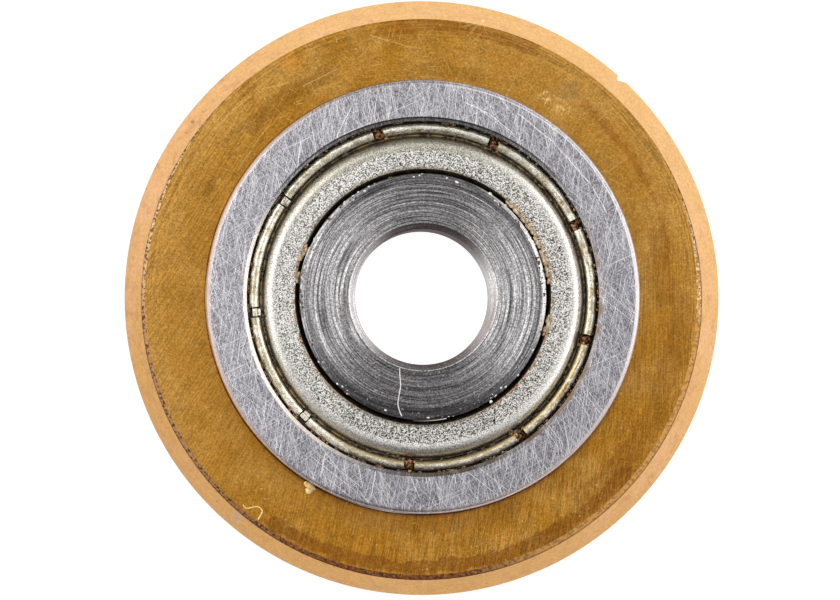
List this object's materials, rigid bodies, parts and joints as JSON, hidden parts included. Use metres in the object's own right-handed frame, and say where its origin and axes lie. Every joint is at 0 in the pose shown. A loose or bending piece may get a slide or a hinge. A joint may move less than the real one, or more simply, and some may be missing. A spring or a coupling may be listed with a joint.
{
  "type": "tile cutter scoring wheel",
  "caption": "Gold-coated cutting wheel with a V-shaped edge, pressed on a small shielded ball bearing with a plain bore.",
  "frame": {"origin": "centre of the wheel, halfway across the bearing's width", "axes": "+Z along the spin axis and out of the face that the picture shows; +X to the picture's right; the wheel lies flat on the bearing's back face"},
  "size_m": [0.022, 0.022, 0.005],
  "materials": {
    "gold_coating": "ground hard metal with a worn gold-coloured nitride coating",
    "bearing_steel": "ground and scratched bearing steel",
    "plated_sheet": "satin plated sheet",
    "cage_steel": "plain pressed strip",
    "ball_steel": "polished"
  },
  "bodies": {
    "axle_side": {"inner_ring": "bearing_steel"},
    "wheel_side": {"cutting_wheel": "gold_coating", "outer_ring": "bearing_steel", "front_shield": "plated_sheet", "back_shield": "plated_sheet"},
    "cage": {"cage_front_half": "cage_steel", "cage_back_half": "cage_steel"},
    "ball_1_body": {"ball_1": "ball_steel"},
    "ball_2_body": {"ball_2": "ball_steel"},
    "ball_3_body": {"ball_3": "ball_steel"},
    "ball_4_body": {"ball_4": "ball_steel"},
    "ball_5_body": {"ball_5": "ball_steel"},
    "ball_6_body": {"ball_6": "ball_steel"},
    "ball_7_body": {"ball_7": "ball_steel"}
  },
  "joints": [
    {"name": "wheel_spin", "type": "hinge", "parent": "axle_side", "child": "wheel_side", "pos_m": [0, 0, 0], "axis": [0, 0, 1], "continuous": true},
    {"name": "cage_spin", "type": "hinge", "parent": "axle_side", "child": "cage", "pos_m": [0, 0, 0], "axis": [0, 0, 1], "continuous": true},
    {"name": "ball_1_roll", "type": "hinge", "parent": "cage", "child": "ball_1_body", "pos_m": [0, 0.00525, 0], "axis": [0, 0, 1], "continuous": true},
    {"name": "ball_2_roll", "type": "hinge", "parent": "cage", "child": "ball_2_body", "pos_m": [-0.0041, 0.00327, 0], "axis": [0, 0, 1], "continuous": true},
    {"name": "ball_3_roll", "type": "hinge", "parent": "cage", "child": "ball_3_body", "pos_m": [-0.00512, -0.00117, 0], "axis": [0, 0, 1], "continuous": true},
    {"name": "ball_4_roll", "type": "hinge", "parent": "cage", "child": "ball_4_body", "pos_m": [-0.00228, -0.00473, 0], "axis": [0, 0, 1], "continuous": true},
    {"name": "ball_5_roll", "type": "hinge", "parent": "cage", "child": "ball_5_body", "pos_m": [0.00228, -0.00473, 0], "axis": [0, 0, 1], "continuous": true},
    {"name": "ball_6_roll", "type": "hinge", "parent": "cage", "child": "ball_6_body", "pos_m": [0.00512, -0.00117, 0], "axis": [0, 0, 1], "continuous": true},
    {"name": "ball_7_roll", "type": "hinge", "parent": "cage", "child": "ball_7_body", "pos_m": [0.0041, 0.00327, 0], "axis": [0, 0, 1], "continuous": true}
  ],
  "couplings": [
    {"joint": "cage_spin", "follows": "wheel_spin", "ratio": 0.6323},
    {"joint": "ball_1_roll", "follows": "wheel_spin", "ratio": 1.7576},
    {"joint": "ball_2_roll", "follows": "wheel_spin", "ratio": 1.7576},
    {"joint": "ball_3_roll", "follows": "wheel_spin", "ratio": 1.7576},
    {"joint": "ball_4_roll", "follows": "wheel_spin", "ratio": 1.7576},
    {"joint": "ball_5_roll", "follows": "wheel_spin", "ratio": 1.7576},
    {"joint": "ball_6_roll", "follows": "wheel_spin", "ratio": 1.7576},
    {"joint": "ball_7_roll", "follows": "wheel_spin", "ratio": 1.7576}
  ]
}
